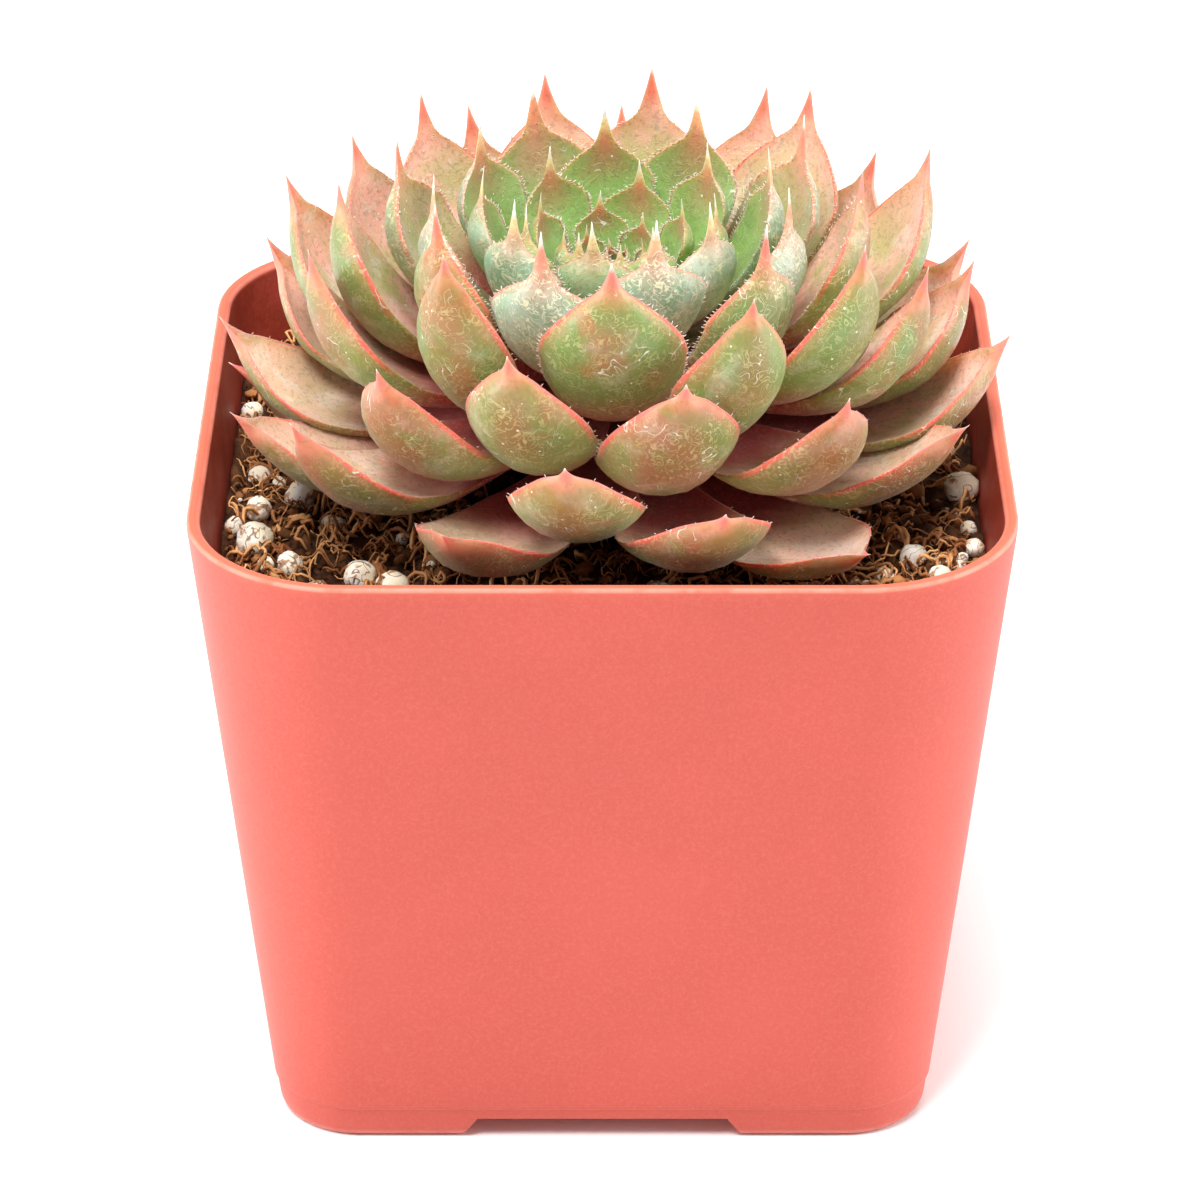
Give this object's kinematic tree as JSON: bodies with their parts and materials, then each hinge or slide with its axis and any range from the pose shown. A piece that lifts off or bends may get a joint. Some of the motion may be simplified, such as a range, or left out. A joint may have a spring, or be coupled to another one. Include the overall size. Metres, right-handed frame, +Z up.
{
  "type": "potted succulent",
  "caption": "Potted rosette succulent: fleshy pointed leaves spiral round a short stem in gritty soil, in a small square tapered plastic pot with corner feet and drainage holes.",
  "frame": {"origin": "on the ground under the centre of the pot", "axes": "+Z up; -Y is the side of the pot that the viewer faces; +X to the viewer's right"},
  "size_m": [0.0602, 0.06, 0.07],
  "materials": {
    "pot": "matte terracotta-coloured moulded plastic with fine grain",
    "soil": "loose peat and coir crumbs",
    "stem": "woody, dry",
    "perlite": "rough expanded mineral grains",
    "leaf": "waxy satin, green flushed with pink",
    "bud": "waxy satin, bright green"
  },
  "bodies": {
    "root": {"pot": "pot", "soil": "soil", "stem_and_roots": "stem", "perlite_01": "perlite", "perlite_02": "perlite", "perlite_03": "perlite", "perlite_04": "perlite", "perlite_05": "perlite", "perlite_06": "perlite", "leaf_00": "leaf", "leaf_01": "leaf", "leaf_02": "leaf", "leaf_03": "leaf", "leaf_04": "leaf", "leaf_05": "leaf", "leaf_06": "leaf", "leaf_07": "leaf", "leaf_08": "leaf", "leaf_09": "leaf", "leaf_12": "leaf", "leaf_14": "leaf", "leaf_15": "leaf", "leaf_16": "leaf", "leaf_17": "leaf", "leaf_18": "leaf", "leaf_19": "leaf", "leaf_20": "leaf", "leaf_22": "leaf", "leaf_23": "leaf", "leaf_25": "leaf", "leaf_28": "leaf", "leaf_29": "leaf", "leaf_30": "leaf", "leaf_31": "leaf", "leaf_32": "leaf", "leaf_33": "leaf", "leaf_34": "leaf", "leaf_35": "leaf", "leaf_36": "leaf", "leaf_37": "leaf", "leaf_38": "leaf", "leaf_39": "leaf", "leaf_40": "leaf", "leaf_41": "leaf", "leaf_42": "leaf", "leaf_43": "leaf", "leaf_44": "leaf", "leaf_45": "leaf", "leaf_46": "leaf", "leaf_47": "leaf", "leaf_48": "leaf", "leaf_49": "leaf", "leaf_50": "leaf", "leaf_51": "leaf", "leaf_52": "leaf", "leaf_53": "leaf", "leaf_54": "leaf", "leaf_55": "leaf", "leaf_56": "leaf", "bud": "bud"}
  },
  "joints": []
}
